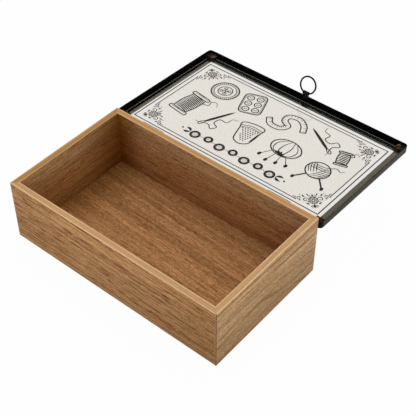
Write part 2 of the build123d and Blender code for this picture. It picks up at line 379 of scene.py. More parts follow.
def draw_pincushion(d):
    """A round pincushion: a flat circle in six lobes under a leafy cap, with four pins stuck in it."""
    d.stroke(loop(13.5, (0, -4.5), 0.78, 44), 0.9, True)
    for reach in (-8.5, -3.2, 3.2, 8.5):
        seam = curve((reach * 0.25, 5), (reach, 1.5), (reach * 1.15, -6.5), (reach * 0.45, -14.4))
        d.stroke(seam, (0.3, 0.75, 0.4))
    for angle in (200, 235, 270, 305, 340):
        d.leaf((0, 5.4), arc(6.4, angle, angle, (0, 5.4), 0.75, 1)[0], 0.12, 1.7)
    for foot, head in (((-6, 3), (-11.5, 15)), ((-2, 5.5), (-3, 17.5)), ((3, 5.5), (5.2, 15)),
                       ((6.5, 3.5), (13.5, 12.5))):
        d.stroke([foot, head], (0.45, 0.6))
        d.spot(head, 1.45, count=11)


def draw_small_button(d):
    """A four-hole button with nothing but its rim, a thin circle and the holes."""
    d.stroke(loop(13.0, count=32), 1.3, True)
    d.stroke(loop(9.0, count=28), 0.5, True)
    for x, y in CORNERS:
        d.spot((2.7 * x, 2.7 * y), 1.2, count=7)


def draw_button(d, radius=13.0):
    """A four-hole button: three circles, ticks round its rim, and crossed thread through the holes."""
    d.stroke(loop(radius, count=48), 0.9, True)
    d.stroke(loop(0.79 * radius, count=44), 0.45, True)
    d.stroke(loop(0.52 * radius, count=36), 0.7, True)
    for angle in np.arange(0, 360, 9.0):
        tick = [arc(reach * radius, angle, angle, count=1)[0] for reach in (0.83, 0.89, 0.95)]
        d.stroke(tick, (0.3, 0.5, 0.3))
    hole = 0.2 * radius
    for x, y in CORNERS:
        d.stroke(loop(0.12 * radius, (hole * x, hole * y), count=14), 0.55, True)
    d.stroke([(-hole, -hole), (0, 0), (hole, hole)], 0.65)
    d.stroke([(-hole, hole), (0, 0), (hole, -hole)], 0.65)


def draw_button_card(d):
    """A card of six buttons: a rounded rectangle with a thin line inside it, and two columns of buttons."""
    d.stroke(box_loop(12.0, 16.5), 0.85, True)
    d.stroke(box_loop(10.6, 15.1), 0.35, True)
    for x in (-5.1, 5.1):
        for y in (-9.6, 0, 9.6):
            d.stroke(loop(3.6, (x, y), count=24), 0.75, True)
            for hole in (-1.0, 1.0):
                d.spot((x + hole, y), 0.62, count=7)


def draw_tape(d):
    """A curling tape measure: two edges beside one smooth path, with long and short ticks."""
    path = curve((-19, 6), (-12, 13), (-1, 12), (3, 4), (-5, -1), (-6, -9), (4, -13), (14, -8), (20, 1),
                 steps=12)
    left, right = beside(path, 3.0), beside(path, -3.0)
    d.stroke(left, 0.8)
    d.stroke(right, 0.8)
    for end in (0, -1):
        d.stroke([left[end], path[end], right[end]], 0.8)
    for index in range(3, len(path) - 2, 3):
        step = (0.55 if index % 2 else 0.32) * (path[index] - right[index])
        d.stroke([right[index], right[index] + step, right[index] + 2 * step], 0.4)


def draw_yarn(d):
    """A ball of yarn: a circle filled with bowed chords in three directions, and two knitting needles."""
    d.stroke(loop(11.5, (0, -3), count=44), 0.9, True)
    for turn, rows in ((0, (-8, -5.5, -3)), (62, (0, 2.6, 5.2, 7.8)), (-58, (1.5, 4.1, 6.7, 9.0))):
        cosine, sine = math.cos(math.radians(turn)), math.sin(math.radians(turn))
        for row in rows:
            reach = math.sqrt(11.2 ** 2 - row ** 2) * 0.97
            x = np.linspace(-reach, reach if turn <= 0 else 0.2 * reach, 12)
            y = row + 1.3 * (1 - (x / reach) ** 2) * (0.6 if row > 7 else 1)
            turned = np.stack([cosine * x - sine * y, sine * x + cosine * y - 3], 1)
            d.stroke(turned, (0.35, 0.7, 0.35))
    for *needle, head in (((6.5, 6.4), (10.5, 12), (14.2, 17), (14.7, 17.7)),
                          ((-6.8, 6.2), (-11, 11.6), (-14.6, 16), (-15.1, 16.7))):
        d.stroke(needle, 1.1)
        d.spot(head, 1.6, count=11)
    d.stroke(curve((8, -11.2), (13, -14.5), (18, -12), (21, -15.5)), (0.7, 0.6, 0.3))


def draw_flourish(d):
    """A corner's scrollwork: a six-petalled rosette in a ring, and along both sides two spiral curls with
    slender leaves and dots between them."""
    d.stroke(loop(4.1, (8.6, 8.6), count=36), 0.6, True)
    for petal in arc(2.1, 0, 300, (8.6, 8.6), count=6):
        d.stroke(loop(0.95, petal, count=12), 0.42, True)
    d.leaf((1.6, 1.6), (5.2, 5.2), 0.0, 1.5)
    d.leaf((12.2, 12.2), (14.8, 14.8), 0.0, 1.1)
    for flip in (np.eye(2), np.eye(2)[::-1]):
        side = 1 if flip[0, 0] else -1
        for place, inner, outer, start, sweep, width in (
                ((14.6, 4.9), 0.7, 3.5, 120, 450, 0.6), ((20.9, 3.4), 0.5, 2.4, 260, -420, 0.55),
                ((13.9, 11.2), 0.4, 1.7, 30, 380, 0.5), ((4.6, 1.9), 0.3, 1.5, 180, -360, 0.5)):
            curl = spiral(inner, outer, start, start + sweep) @ flip
            d.stroke(curl + np.array(place) @ flip, (0.7 * width, width, 0.7 * width))
        for start, end, bend, width in (
                ((8.0, 1.6), (11.6, 1.1), 0.16, 1.1), ((17.8, 7.8), (21.2, 8.4), -0.2, 1.1),
                ((16.2, 10.4), (19.0, 11.4), 0.2, 0.9), ((17.6, 1.0), (19.4, 0.7), 0.1, 0.8)):
            d.leaf(np.array(start) @ flip, np.array(end) @ flip, bend * side, width)
        for place, radius in (((24.4, 2.0), 0.7), ((26.4, 1.7), 0.5), ((22.8, 7.2), 0.45)):
            d.spot(np.array(place) @ flip, radius)


def inner_reach(look):
    """Half the length and half the width of the inner line's rectangle, in millimetres."""
    return (look.half_length - look.end_gap) / MM, (look.half_width - look.line_gap) / MM


def draw_border(d, look, stop=24.0):
    """Two straight lines on each side. The inner one stops that far short of the corners, where the
    scrollwork is, and ends in a diamond."""
    long, wide = look.half_length / MM, look.half_width / MM
    outer, inner = look.outer_line / MM, look.inner_line / MM
    reach_long, reach_wide = inner_reach(look)
    run_long, run_wide = reach_long - stop, reach_wide - stop
    for side in (1, -1):
        d.rule(long + outer / 2, side * wide, outer)
        d.rule(wide - outer / 2, side * long, outer, upright=True)
        d.rule(run_long, side * reach_wide, inner)
        d.rule(run_wide, side * reach_long, inner, upright=True)
        for end in (1, -1):
            d.spot((end * (run_long + 1.2), side * reach_wide), 1.1, 0.7, 5)
            d.spot((side * reach_long, end * (run_wide + 1.2)), 0.9, 1.2, 5)
            d.put((end * reach_long, side * reach_wide), mirror=(-end, -side))
            d.weight = 1.0 + look.weight
            draw_flourish(d)
            d.weight = 1.0
            d.put()


def draw_garland(d, level=42.5):
    """A row of seven small buttons on a running stitch, beside the border's line that is nearest the
    hinge, with two leaves and a spot at each end."""
    for index, u in enumerate(np.linspace(-45, 45, 7)):
        d.put((u, level + 1.1 * math.cos(index * math.pi)), 15 * index, 0.3 if index % 2 else 0.36)
        draw_small_button(d)
        d.put()
    for u in np.linspace(-37.5, 37.5, 6):
        for step in (-2.1, 0, 2.1):
            d.stroke([(u + step - 0.65, level), (u + step, level + 0.1), (u + step + 0.65, level)], 0.55)
    for end in (1, -1):
        for side in (1, -1):
            d.leaf((end * 51.5, level), (end * 58.5, level + 2.7 * side), 0.2 * end * side, 1.9)
        d.spot((end * 61.2, level), 0.9)


# Materials

class Shader:
    """A node material and the few calls that build its tree."""

    def __init__(self, name):
        self.material = bpy.data.materials.new(name)
        self.material.use_nodes = True
        tree = self.material.node_tree
        tree.nodes.clear()
        self.nodes, self.links = tree.nodes, tree.links
        self.output = self.nodes.new("ShaderNodeOutputMaterial")
        self.place = self.nodes.new("ShaderNodeTexCoord").outputs["Object"]
        self.parts = self.nodes.new("ShaderNodeSeparateXYZ")
        self.links.new(self.place, self.parts.inputs[0])

    def feed(self, socket, value):
        """Links a socket to another node's socket, or writes a plain value into it."""
        if isinstance(value, bpy.types.NodeSocket):
            self.links.new(value, socket)
        elif socket.type == "RGBA" and len(value) == 3:
            socket.default_value = (*value, 1)
        else:
            socket.default_value = value

    def axis(self, letter):
        """One of the three Object coordinates, in metres."""
        return self.parts.outputs[letter.upper()]

    def math(self, operation, *values):
        """One step of arithmetic on sockets or numbers."""
        node = self.nodes.new("ShaderNodeMath")
        node.operation = operation
        for socket, value in zip(node.inputs, values):
            self.feed(socket, value)
        return node.outputs[0]

    def spread(self, value, low, high, start=0.0, end=1.0):
        """A value carried from the range low to high to the range start to end, eased at both ends."""
        node = self.nodes.new("ShaderNodeMapRange")
        node.interpolation_type = "SMOOTHSTEP"
        for socket, number in zip(node.inputs, (value, low, high, start, end)):
            self.feed(socket, number)
        return node.outputs[0]

    def noise(self, sizes, turn=(0, 0, 0), shift=(0, 0, 0), detail=2.0, rough=0.5, bend=0.0):
        """Noise whose spots are about that long, in metres, along the axes turned by those degrees. One
        size is the same along all three."""
        mapping = self.nodes.new("ShaderNodeMapping")
        mapping.vector_type = "TEXTURE"
        self.links.new(self.place, mapping.inputs["Vector"])
        mapping.inputs["Location"].default_value = shift
        mapping.inputs["Rotation"].default_value = [math.radians(angle) for angle in turn]
        mapping.inputs["Scale"].default_value = np.full(3, sizes).tolist()
        node = self.nodes.new("ShaderNodeTexNoise")
        self.links.new(mapping.outputs[0], node.inputs["Vector"])
        node.inputs["Scale"].default_value = 1.0
        node.inputs["Detail"].default_value = detail
        node.inputs["Roughness"].default_value = rough
        node.inputs["Distortion"].default_value = bend
        return node.outputs["Fac"]

    def mix(self, factor, first, second, way="MIX"):
        """Two colours mixed by a factor."""
        node = self.nodes.new("ShaderNodeMix")
        node.data_type = "RGBA"
        node.blend_type = way
        self.feed(node.inputs[0], factor)
        self.feed(node.inputs[6], first)
        self.feed(node.inputs[7], second)
        return node.outputs[2]

    def shade(self, base, factor, low, high):
        """A colour multiplied by a grey or a tint that goes from low to high with the factor."""
        low, high = (level if isinstance(level, tuple) else (level,) * 3 for level in (low, high))
        return self.mix(1.0, base, self.mix(factor, low, high), "MULTIPLY")

    def principled(self, base, roughness, height=None, depth=0.0, **levels):
        """The shader itself, with an optional bump of a height from 0 to 1 that is depth metres tall."""
        node = self.nodes.new("ShaderNodeBsdfPrincipled")
        self.feed(node.inputs["Base Color"], base)
        self.feed(node.inputs["Roughness"], roughness)
        if height is not None:
            bump = self.nodes.new("ShaderNodeBump")
            bump.inputs["Strength"].default_value = 1.0
            bump.inputs["Distance"].default_value = depth
            self.links.new(height, bump.inputs["Height"])
            self.links.new(bump.outputs[0], node.inputs["Normal"])
        for name, value in levels.items():
            self.feed(node.inputs[name.replace("_", " ")], value)
        return node.outputs[0]

    def through(self, tint):
        """A shader that lets light straight through, tinted."""
        node = self.nodes.new("ShaderNodeBsdfTransparent")
        node.inputs["Color"].default_value = (*tint, 1)
        return node.outputs[0]

    def blend(self, factor, first, second):
        """Two shaders mixed by a factor."""
        node = self.nodes.new("ShaderNodeMixShader")
        for socket, value in zip(node.inputs, (factor, first, second)):
            self.feed(socket, value)
        return node.outputs[0]

    def end(self, surface):
        """Puts the surface on the output and gives the material back."""
        self.links.new(surface, self.output.inputs["Surface"])
        return self.material


# Where the wood's wear, lines and painted foot shadow begin and end, in metres
RIM_SKIN = (0.45 * MM, 0.2 * MM)
CRACK_EDGE = (0.8 * MM, 0.3 * MM)
CRACK_STRAY = 3.0 * MM
LINE_SPACING = 7.5 * MM
LINE_STRAY = 45.0 * MM
JOINT_LINE = (0.6 * MM, 0.3 * MM)
FOOT_SHADOW = (1.2 * MM, 0.2 * MM)
RIM_ROUNDING = (1.7 * MM, 0.7 * MM)

# How much darker and paler the grain's marks are, for red, green and blue
FIBRE_DARK, FIBRE_PALE = (0.20, 0.28, 0.37), (0.12, 0.18, 0.25)
FLECK_DARK, FLECK_PALE = (0.78, 0.72, 0.63), (1.18, 1.25, 1.35)
LINE_DARK = (0.8, 1.0, 1.2)


def tinted(strength, shares):
    """A tint that goes from white by a share of each channel, times a strength."""
    return tuple(1 + strength * part for part in shares)


def graded(s, tint, rows):
    """A tint that changes along the axes. A row is a letter, two places along that axis and the levels or
    tints there."""
    for letter, low, high, start, end in rows:
        tint = s.shade(tint, s.spread(s.axis(letter), low, high), start, end)
    return tint


def cracked(s, grain, tint, drop):
    """A tint with a fine dark crack along the board, that far under the rim, which strays up and down."""
    stray = s.math("MULTIPLY", s.math("SUBTRACT", grain(90, 40), 0.5), CRACK_STRAY)
    off = s.math("ABSOLUTE", s.math("SUBTRACT", s.math("ADD", s.axis("z"), stray), RIM_HEIGHT - drop))
    return s.shade(tint, s.spread(off, *CRACK_EDGE), 1.0, (0.55, 0.46, 0.39))


def lined(s, grain, tint, strength):
    """A tint with growth lines: the sine of the height, bent by a broad noise and broken by another."""
    bent = s.math("ADD", s.axis("z"), s.math("MULTIPLY", grain(150, 30, detail=1.5), LINE_STRAY))
    wave = s.math("SINE", s.math("MULTIPLY", bent, 2 * math.pi / LINE_SPACING))
    fade = s.spread(grain(40, 9, detail=1.0), 0.3, 0.6, 0.3, 1.0)
    return s.shade(tint, s.math("MULTIPLY", s.spread(wave, 0.5, 1.0), fade), 1.0 + 0.2 * strength,
                   tinted(-strength, LINE_DARK))


def planed_rim(s, look, base, fibre, fleck, off_middle, rim_shade):
    """The paler planed top edge, with fainter fibres and its rounded long edges worn pale, times the board's
    rim tint, which darkens the back and left rims as painted shade.
    """
    planed = s.shade(look.rim_colour, s.spread(fibre, 0.3, 0.7), 0.88, 1.1)
    planed = s.shade(planed, s.spread(fleck, 0.3, 0.7), 0.92, 1.08)
    worn = s.spread(off_middle, *(0.5 * WALL - inwards for inwards in RIM_ROUNDING))
    # The rim tint darkens the back and left rims as painted shade
    planed = s.shade(s.shade(planed, worn, 0.93, (1.3, 1.4, 1.6)), 1.0, 1.0, rim_shade)
    return s.mix(s.spread(s.axis("z"), *(RIM_HEIGHT - under for under in RIM_SKIN)), base, planed)


def worn_ends_and_foot_shadow(s, look, base, along, outside):
    """The outer face's upright corners rubbed pale, the dark line of the mitre, and a painted contact shadow
    along the board's foot.
    """
    half = 0.5 * BOX_LENGTH if along == "x" else 0.5 * BOX_WIDTH
    to_end = s.math("SUBTRACT", half, s.math("ABSOLUTE", s.axis(along)))
    rubbed = s.math("MULTIPLY", s.spread(to_end, look.arris * 1.3, look.arris * 0.7), outside)
    base = s.mix(s.math("MULTIPLY", rubbed, 0.5), base, look.rim_colour)
    base = s.shade(base, s.math("MULTIPLY", s.spread(to_end, *JOINT_LINE), outside), 1.0, 0.4)
    # Painted contact shadow along the foot
    return s.shade(base, s.spread(s.axis("z"), *FOOT_SHADOW), 1.0, 0.72)


def wood(name, look, along, outer, inner, face, turn=0.0, seed=0.0, pores=1.0, lines=0.0, fibres=1.0,
         bands=1.0, drift=(), inside=(), rim_shade=(1.0, 1.0, 1.0), crack=0.0):
    """Oiled open-pored wood in Object coordinates, from noise drawn out along the board: broad bands,
    stripes, fine fibres, flecks and short dark pores, with growth lines where they are asked for. The grain
    is turned by degrees across the face, and moved by the seed. The face is the middle of the board's
    thickness, in metres: beyond it lies the outer colour, graded by the drift rows, before it the inner
    one, graded by the inside rows, and on top the planed rim. A board without a face lies flat, and has
    the inner colour all over."""
    s = Shader(name)
    angles = (0, turn, 0) if along == "x" else (turn, 0, 0)
    if face is None:
        angles = (0, 0, turn)

    def grain(long, thin, **rest):
        """Noise whose spots are that long and thin, in millimetres, along the board and across it."""
        long, thin = long * MM, thin * MM
        sizes = (long, thin, thin) if along == "x" else (thin, long, thin)
        return s.noise(sizes, angles, (seed, seed * 0.7, seed * 1.3), **rest)

    width = look.band_width / MM
    band = grain(260, width * 1.6, detail=3.0, rough=0.55, bend=0.15)
    stripe = grain(180, width * 0.5)
    fibre = grain(80, 0.8, detail=1.0)
    fleck = grain(1.3, 0.75, detail=0.0)
    cluster = grain(70, 1.9, detail=1.0)
    pore = grain(look.pore_length / MM, look.pore_width / MM, detail=0.0)
    open_pores = s.math("MULTIPLY", s.spread(pore, 0.5, 0.6), s.spread(cluster, 0.42, 0.6, 0.15, 1.0))
    base = graded(s, inner, inside)
    if face is not None:
        across = s.math("ABSOLUTE", s.axis("y" if along == "x" else "x"))
        outside = s.math("GREATER_THAN", across, face)
        weathered = graded(s, outer, drift)
        if crack:
            weathered = cracked(s, grain, weathered, crack)
        base = s.mix(outside, base, weathered)
    base = s.shade(base, s.spread(band, 0.3, 0.7), 1 - 0.1 * bands, 1 + 0.1 * bands)
    base = s.shade(base, s.spread(stripe, 0.3, 0.7), 1 - 0.07 * bands, 1 + 0.07 * bands)
    base = s.shade(base, s.spread(fibre, 0.34, 0.66), tinted(-fibres, FIBRE_DARK), tinted(fibres, FIBRE_PALE))
    base = s.shade(base, s.spread(fleck, 0.34, 0.66), FLECK_DARK, FLECK_PALE)
    if lines:
        base = lined(s, grain, base, lines)
    base = s.mix(s.math("MULTIPLY", open_pores, 0.85 * pores), base, look.pore_colour)
    if face is not None:
        off_middle = s.math("ABSOLUTE", s.math("SUBTRACT", across, face))
        base = planed_rim(s, look, base, fibre, fleck, off_middle, rim_shade)
        base = worn_ends_and_foot_shadow(s, look, base, along, outside)
    height = s.math("ADD", s.math("MULTIPLY", fibre, 0.5), s.math("MULTIPLY", open_pores, -0.7))
    roughness = s.spread(fibre, 0.2, 0.8, look.roughness + 0.08, look.roughness - 0.05)
    return s.end(s.principled(base, roughness, height, 0.04 * MM, Specular_IOR_Level=0.04))


# How softly a lip's painted reflection ends, and how far under the pane still counts as its seat
LIP_FADE = 0.5 * MM
SEAT_SLACK = 0.3 * MM

# Where the corner blocks stand in from the rails, as places along x
BLOCK_INSIDE = (117.5 * MM, 115 * MM)


def on_seat(s):
    """A socket that is 1 on and over the face of the lips that the pane lies on: there the height square
    to the open lid is the pane's lowest."""
    lean = math.radians(SHUT_TURN - 180)
    pane = mesh_points(frame["nodes"]["glass_pane"])
    seat = (pane[:, 1] * math.sin(lean) + pane[:, 2] * math.cos(lean)).min()
    level = s.math("ADD", s.math("MULTIPLY", s.axis("y"), math.sin(lean)),
                   s.math("MULTIPLY", s.axis("z"), math.cos(lean)))
    return s.math("GREATER_THAN", level, seat - SEAT_SLACK)


def enamel(name, tint, roughness, grime=0.25, gleam=0.24, lip=None, sheen=None):
    """Black enamel: slightly uneven gloss from two noises, and a faint orange peel as bump. Where a lip is
    given as an axis, a place along it and a colour, that colour is painted in streaks before that place, on
    the pane's seat, as a painted reflection of the pale surroundings in the glass over the lip. A sheen of
    the same kind is a colour beyond a place, on a flange's outer face, painted there as a reflection."""
    s = Shader(name)
    peel = s.noise(1.6 * MM, detail=1.0)
    cloud = s.noise((20 * MM, 20 * MM, 10 * MM), detail=3.0)
    speck = s.spread(s.noise(0.7 * MM), 0.68, 0.78)
    base = s.mix(s.math("MULTIPLY", s.spread(cloud, 0.35, 0.7), grime), tint, tuple(2.2 * c for c in tint))
    base = s.mix(s.math("MULTIPLY", speck, 0.06), base, linear(70, 66, 58))
    if lip:
        letter, place, shown = lip
        long, thin = 40 * MM, 0.6 * MM
        streak = s.noise((thin, long, thin) if letter == "x" else (long, thin, thin))
        inwards = s.spread(s.math("ABSOLUTE", s.axis(letter)), place + LIP_FADE, place - LIP_FADE)
        lip_reflection = s.math("MULTIPLY", inwards, on_seat(s))
        # Painted reflection of the pale surroundings on the lip, in streaks
        base = s.mix(s.math("MULTIPLY", lip_reflection, s.spread(streak, 0.25, 0.6, 0.45, 1.0)), base, shown)
    if sheen:
        letter, place, shown = sheen
        # Painted reflection on the flange's outer face
        base = s.mix(s.math("GREATER_THAN", s.axis(letter), place), base, shown)
    gloss = s.spread(cloud, 0.25, 0.75, roughness - 0.06, roughness + 0.1)
    return s.end(s.principled(base, gloss, peel, 0.004 * MM, Specular_IOR_Level=gleam,
                              Specular_Tint=linear(255, 247, 232)))


# The operators and what they make

def dress(material, *names):
    """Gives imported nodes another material."""
    for name in names:
        for slot in frame["nodes"][name].material_slots:
            slot.material = material


class SEWBOX_OT_boards(bpy.types.Operator):
    """Dress the four boards and the base panel in oiled wood"""
    bl_idname = "sewbox.boards"
    bl_label = "Wooden Boards"

    def execute(self, context):
        look = context.scene.sewbox_wood
        corner_shade = tuple(look.corner_shade_colour)
        long_board = {"look": look, "along": "x", "outer": look.front_colour, "inner": look.inner_colour,
                      "face": 0.5 * (BOX_WIDTH - WALL)}
        short_board = {"look": look, "along": "y", "outer": look.end_colour, "inner": look.inner_colour,
                       "face": 0.5 * (BOX_LENGTH - WALL)}
        # Rows for the inner faces: painted shade at the feet and painted light towards the tops, and what
        # each board has besides, which is painted shade towards the back left corner, at the left board's
        # foot and along the floor's left end
        climb = (("z", 0.004, 0.02, tuple(0.6 + 0.4 * c for c in corner_shade), 1.0),
                 ("z", 0.034, 0.064, 1.0, (1.2, 1.46, 1.78)))
        back_shade_left_end = ("x", -0.115, -0.075, corner_shade, 1.0)
        left_shade_back_end = ("y", 0.0, 0.066, (1.06, 1.08, 1.04), tuple(0.85 * c + 0.2 for c in corner_shade))
        left_shade_foot = ("z", 0.02, 0.06, (0.9, 0.9, 0.76), 1.0)
        floor_shade_left_end = ("x", -0.118, -0.06, (0.68, 0.6, 0.42), 1.0)
        # Rows for the outer faces: paler towards the rim, and other tints towards the ends
        front_drift = (("z", 0.02, 0.066, 0.99, (1.23, 1.25, 1.29)), ("x", -0.12, -0.07, 0.92, 1.0),
                       ("x", 0.05, 0.12, 1.0, (0.80, 0.77, 0.70)))
        right_drift = (("z", 0.0, 0.06, 0.83, (1.18, 1.22, 1.28)), ("y", 0.0, 0.07, 1.0, (1.08, 1.11, 1.2)))
        dress(wood("front_board_wood", turn=0.6, seed=0.013, fibres=1.25, inside=climb, drift=front_drift,
                   **long_board), "front_wall")
        # The back and left rims' darker tints are painted shade
        dress(wood("back_board_wood", turn=-0.5, seed=0.137, pores=0.7, lines=0.12,
                   inside=(*climb, back_shade_left_end), rim_shade=(0.90, 0.85, 0.76), **long_board), "back_wall")
        dress(wood("left_board_wood", turn=0.6, seed=0.251, pores=0.7, lines=0.10, fibres=0.7,
                   inside=(*climb, left_shade_back_end, left_shade_foot), rim_shade=(0.76, 0.68, 0.53), **short_board),
              "left_wall")
        dress(wood("right_board_wood", turn=-1.0, seed=0.377, pores=0.25, lines=0.36, fibres=0.8,
                   inside=climb, drift=right_drift, crack=look.crack_drop, **short_board), "right_wall")
        dress(wood("base_panel_wood", look, "x", None, look.floor_colour, None, turn=-3.0, seed=0.491,
                   pores=0.75, fibres=0.4, bands=1.8, inside=(floor_shade_left_end,)), "base_panel")
        return {"FINISHED"}


def rubbed_stain(look):
    """Dark stain on the corner blocks, rubbed brown in lumps on the part that stands in from the rail."""
    s = Shader("block_stain")
    lump = s.noise((3.5 * MM, 2.5 * MM, 2 * MM), detail=3.0)
    fine = s.noise(0.6 * MM)
    inner = s.spread(s.math("ABSOLUTE", s.axis("x")), *BLOCK_INSIDE)
    worn = s.math("MULTIPLY", s.spread(lump, 0.5, 0.66), inner)
    base = s.mix(worn, look.block_colour, look.block_wear)
    base = s.shade(base, fine, 0.75, 1.2)
    return s.end(s.principled(base, 0.55, fine, 0.08 * MM, Specular_IOR_Level=0.12))


class SEWBOX_OT_lid_frame(bpy.types.Operator):
    """Dress the lid's folded rails and corner blocks"""
    bl_idname = "sewbox.lid_frame"
    bl_label = "Lid Frame"

    def execute(self, context):
        look = context.scene.sewbox_lid
        black, dull = look.enamel_colour, look.enamel_roughness
        lip_reflection, faint = look.lip_reflection_colour, look.faint_reflection_colour
        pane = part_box("glass_pane")[1]
        # The right flange's outer face gets a painted reflection of the pale surroundings
        rubbed = ("x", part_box("right_rail")[1].x - 0.5 * MM, look.flange_sheen_colour)
        # How far out the painted reflection goes on each lip, measured from the pane's edge; on the left it
        # stops short of the flange, leaving painted shade beside it
        front_lip, left_lip, right_lip = pane.y + 1.2 * MM, pane.x - 3.8 * MM, pane.x + 1.5 * MM
        dress(enamel("back_rail_enamel", black, dull, gleam=0.06), "back_rail")
        dress(enamel("front_rail_enamel", black, dull, gleam=0.1, lip=("y", front_lip, faint)), "front_rail")
        dress(enamel("left_rail_enamel", black, dull, gleam=0.1, lip=("x", left_lip, lip_reflection)), "left_rail")
        dress(enamel("right_rail_enamel", black, dull, gleam=0.04, lip=("x", right_lip, lip_reflection), sheen=rubbed),
              "right_rail")
        dress(rubbed_stain(look), "corner_blocks")
        return {"FINISHED"}


def clear_glass(look, shadow_tint=(0.93, 0.935, 0.93)):
    """Clear glass with a faint film. Its shadow is that of a clear sheet, so light still gets through."""
    s = Shader("pane_glass")
    film = s.noise(30 * MM, detail=4.0)
    clear = s.principled(look.glass_colour, s.spread(film, 0.45, 0.8, 0.01, 0.03),
                         Transmission_Weight=1.0, IOR=1.5, Specular_Tint=linear(255, 250, 236))
    shadow = s.nodes.new("ShaderNodeLightPath").outputs["Is Shadow Ray"]
    return s.end(s.blend(shadow, clear, s.through(shadow_tint)))


def ground_glass_highlight():
    """The pale dull skin of a ground glass edge, painted pale to stand in for the highlight along the pane's
    edge as well.
    """
    s = Shader("ground_glass_highlight")
    grit = s.noise(0.9 * MM)
    base = s.shade(linear(132, 134, 128), grit, 0.7, 1.2)
    return s.end(s.principled(base, 0.6, grit, 0.004 * MM, Specular_IOR_Level=0.2))


class SEWBOX_OT_glass(bpy.types.Operator):
    """Dress the pane in clear glass and give it a ground edge, whose pale colour is partly a painted
    highlight
    """
    bl_idname = "sewbox.glass"
    bl_label = "Glass Pane"

    def execute(self, context):
        look = context.scene.sewbox_lid
        dress(clear_glass(look), "glass_pane")
        pane = swing(mesh_points(frame["nodes"]["glass_pane"]), SHUT_TURN)
        half_long, half_wide = 0.5 * (pane.max(0) - pane.min(0))[:2] / MM
        wide = look.ground_edge_highlight / MM
        edge = Drawing(low=0.002, high=0.02)
        for side in (1, -1):
            edge.rule(half_long - wide, side * (half_wide - 0.5 * wide), wide)
            edge.rule(half_wide, side * (half_long - 0.5 * wide), wide, upright=True)
        edge.piece("pane_ground_edge_highlight", ground_glass_highlight(), "glass")
        return {"FINISHED"}


def bright_steel(look):
    """Steel brushed along x."""
    s = Shader("bright_steel")
    brushed = s.noise((4 * MM, 0.2 * MM, 0.2 * MM))
    base = s.shade(look.steel_colour, brushed, 0.8, 1.1)
    gloss = s.spread(brushed, 0.3, 0.7, 0.25, 0.45)
    return s.end(s.principled(base, gloss, brushed, 0.01 * MM, Metallic=1.0))


class SEWBOX_OT_fittings(bpy.types.Operator):
    """Dress the hinges, screws and tab, and put a smooth ring in the ring's place"""
    bl_idname = "sewbox.fittings"
    bl_label = "Hinges and Ring"

    def execute(self, context):
        look = context.scene.sewbox_lid
        tab_tint, ring_tint = linear(17, 12, 8), linear(5, 5, 4)
        dress(enamel("hinge_black", look.fitting_colour, 0.42, grime=0.5), "hinge_box_leaf_left",
              "hinge_box_leaf_right", "hinge_lid_leaf_left", "hinge_lid_leaf_right")
        dress(enamel("tab_black", tab_tint, 0.38, grime=0.6, gleam=0.12), "ring_tab")
        dress(bright_steel(look), "hinge_pin_left", "hinge_pin_right", "hinge_screws")
        make_ring(enamel("ring_black", ring_tint, 0.3, grime=0.3, gleam=0.06))
        return {"FINISHED"}


def make_ring(material, around=128, across_wire=20, slack=0.02 * MM):
    """A torus: a point goes round the wire's circle by one angle while that circle goes round the ring by
    the other. The ring's middle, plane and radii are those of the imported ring, less a slack that keeps it
    inside."""
    found = mesh_points(frame["nodes"]["pull_ring"])
    middle = found.mean(0)
    axes = np.linalg.svd(found - middle, full_matrices=False)[2]
    extent = (found - middle) @ axes.T
    middle = middle + 0.5 * (extent.min(0) + extent.max(0)) @ axes
    right, up, _ = axes
    reach = np.hypot((found - middle) @ right, (found - middle) @ up)
    wire = 0.5 * (reach.max() - reach.min())
    radius = reach.max() - wire - slack
    round_ring, round_wire = (angle[..., None] for angle in np.meshgrid(
        np.linspace(0, 2 * math.pi, around, endpoint=False),
        np.linspace(0, 2 * math.pi, across_wire, endpoint=False), indexing="ij"))
    outwards = np.cos(round_ring) * right + np.sin(round_ring) * up
    points = middle + (radius + wire * np.cos(round_wire)) * outwards
    points = points + wire * np.sin(round_wire) * np.cross(right, up)
    here = np.arange(around * across_wire).reshape(around, across_wire)
    ahead, aside = np.roll(here, -1, 0), np.roll(here, -1, 1)
    faces = np.stack([here, ahead, np.roll(ahead, -1, 1), aside], 2).reshape(-1, 4)
    ring = make_piece("wire_ring", points.reshape(-1, 3), faces, material, "ring", True)
    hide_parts("pull_ring")


def print_ink(look):
    """Black ink that covers unevenly."""
    s = Shader("print_ink")
    cover = s.noise(1.2 * MM)
    base = s.shade(look.ink_colour, cover, 0.7, 1.6)
    return s.end(s.principled(base, 0.5, cover, 0.004 * MM, Specular_IOR_Level=0.15))


def print_ground(look, tint=(0.998, 0.99, 0.975)):
    """A thin cloudy ground: it stops a small share of the light and tints the rest."""
    s = Shader("print_ground")
    cloud = s.noise(12 * MM, detail=3.0)
    veil = s.principled(s.shade(look.ground_colour, cloud, 0.97, 1.03), 0.6)
    cover = s.spread(cloud, 0.2, 0.8, look.ground_cover * 0.98, look.ground_cover * 1.02)
    return s.end(s.blend(cover, s.through(tint), veil))


